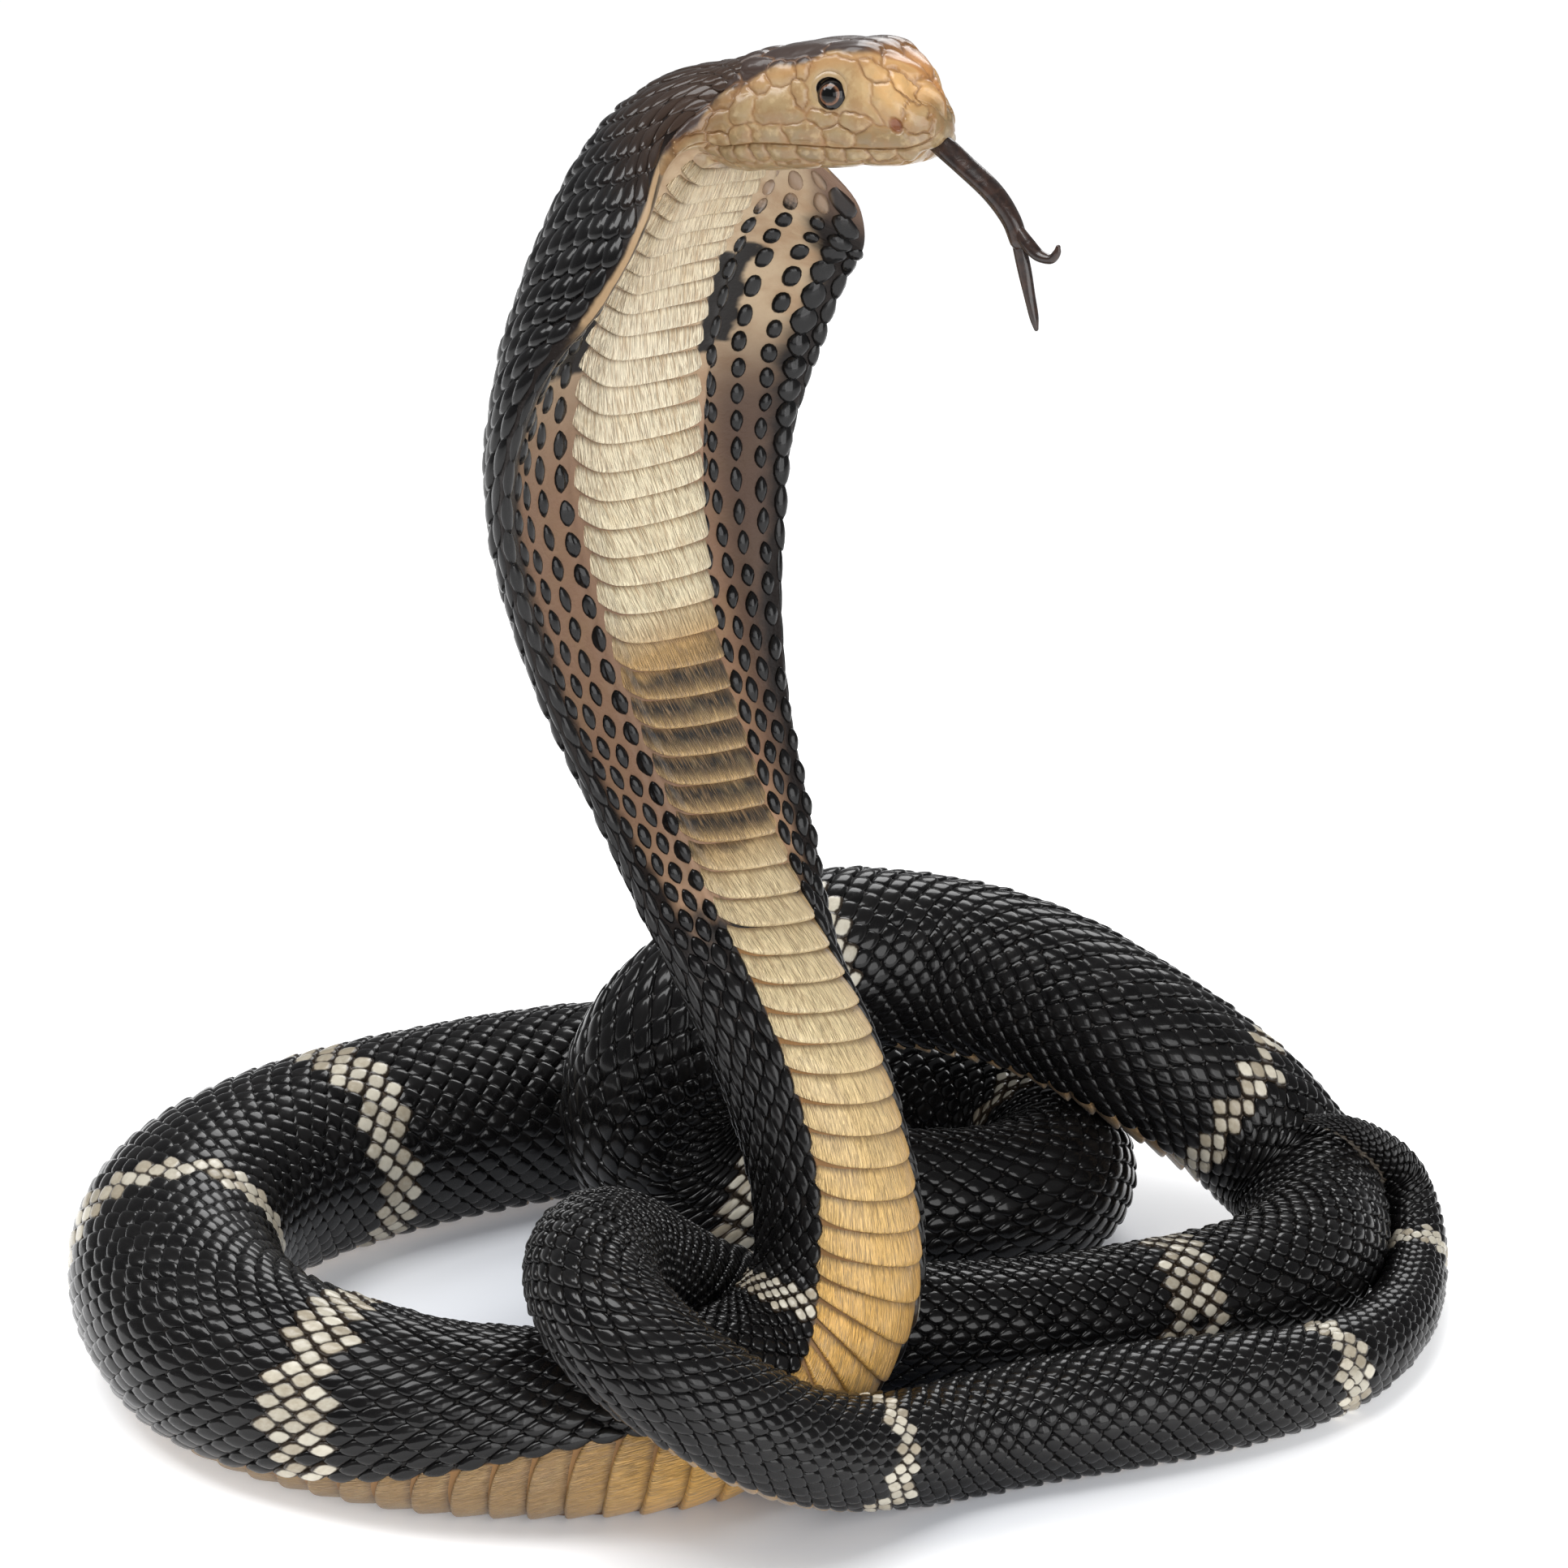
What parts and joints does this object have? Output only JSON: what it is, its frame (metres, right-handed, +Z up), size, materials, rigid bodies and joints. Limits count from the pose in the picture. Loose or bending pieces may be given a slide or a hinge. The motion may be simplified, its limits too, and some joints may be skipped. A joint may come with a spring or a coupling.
{
  "type": "king cobra figure",
  "caption": "Cast resin figure of a king cobra that rears up from its own coils with the hood spread and the forked tongue out; a still display piece.",
  "frame": {"origin": "middle of the figure's footprint, on the surface it stands on", "axes": "+Z up, +X to the right of the picture's view, across the widest extent; -Y towards the viewer"},
  "size_m": [0.3645, 0.2825, 0.3487],
  "materials": {
    "coil_resin": "painted black scales with cream bands, satin to glossy lacquer",
    "hood_resin": "cream belly plates washed with ochre and brown, dark oval scales at the sides, black back",
    "head_resin": "cream head shields with brown grooves, dark brown crown, satin lacquer",
    "eye_gloss": "dark eye with a pale ring under clear gloss",
    "tongue_gloss": "dark brown gloss paint"
  },
  "bodies": {
    "root": {"head": "head_resin", "lower_jaw": "head_resin", "hood": "hood_resin", "neck": "hood_resin", "neck_base": "hood_resin", "front_left_length": "coil_resin", "left_bend": "coil_resin", "back_left_length": "coil_resin", "rear_length": "coil_resin", "rear_bend": "coil_resin", "inner_bend": "coil_resin", "climbing_bend": "coil_resin", "top_length": "coil_resin", "descending_bend": "coil_resin", "middle_length": "coil_resin", "small_loop_back": "coil_resin", "small_loop_front": "coil_resin", "front_length": "coil_resin", "front_right_length": "coil_resin", "tail": "coil_resin", "tail_tip": "coil_resin", "eye_right": "eye_gloss", "eye_left": "eye_gloss", "tongue": "tongue_gloss"}
  },
  "joints": []
}
